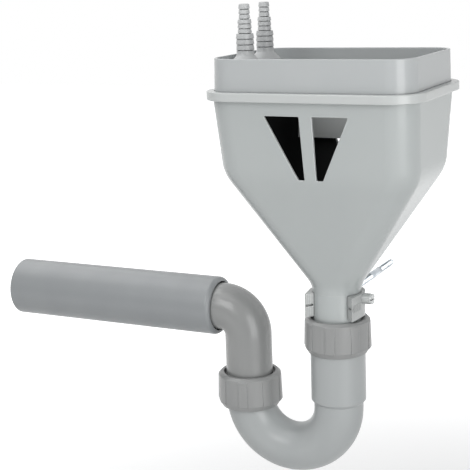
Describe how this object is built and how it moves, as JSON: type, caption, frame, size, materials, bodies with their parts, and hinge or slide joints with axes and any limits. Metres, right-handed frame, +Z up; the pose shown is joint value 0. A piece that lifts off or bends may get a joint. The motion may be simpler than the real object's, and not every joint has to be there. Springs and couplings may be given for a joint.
{
  "type": "funnel trap",
  "caption": "Wall-hung funnel trap: an oblong hopper with windows and barbed hose nozzles, on a U-bend with union nuts and a long outlet pipe.",
  "frame": {"origin": "where the axis of the hanger bolt meets the face of the wall", "axes": "+Y into the wall along the hanger bolt, +Z up, the outlet pipe leaves along -X"},
  "size_m": [0.3999, 0.2055, 0.3935],
  "materials": {
    "moulding_light": "satin moulded light grey polypropylene",
    "moulding_mid": "satin moulded mid grey plastic",
    "nut_grey": "matte moulded grey plastic, slightly warmer",
    "pipe_grey": "satin extruded grey plastic",
    "liner_black": "matte black plastic",
    "seal_rubber": "matte black rubber",
    "zinc_steel": "bright zinc plating"
  },
  "bodies": {
    "root": {"hopper": "moulding_light", "collar": "moulding_light", "nozzle_bridge": "moulding_light", "hose_nozzle_front": "moulding_mid", "hose_nozzle_rear": "moulding_mid", "nozzle_nut_front": "moulding_mid", "nozzle_nut_rear": "moulding_mid", "splash_liner": "liner_black", "trap_bend": "moulding_light", "union_nut_inlet": "nut_grey", "union_nut_outlet": "nut_grey", "thrust_ring_inlet": "nut_grey", "thrust_ring_outlet": "nut_grey", "cone_seal_inlet": "seal_rubber", "cone_seal_outlet": "seal_rubber", "outlet_elbow": "pipe_grey", "outlet_pipe": "pipe_grey", "outlet_seal": "seal_rubber", "pipe_clip": "moulding_light", "clip_nut": "zinc_steel", "clip_screw": "moulding_light", "hanger_bolt": "zinc_steel"}
  },
  "joints": []
}
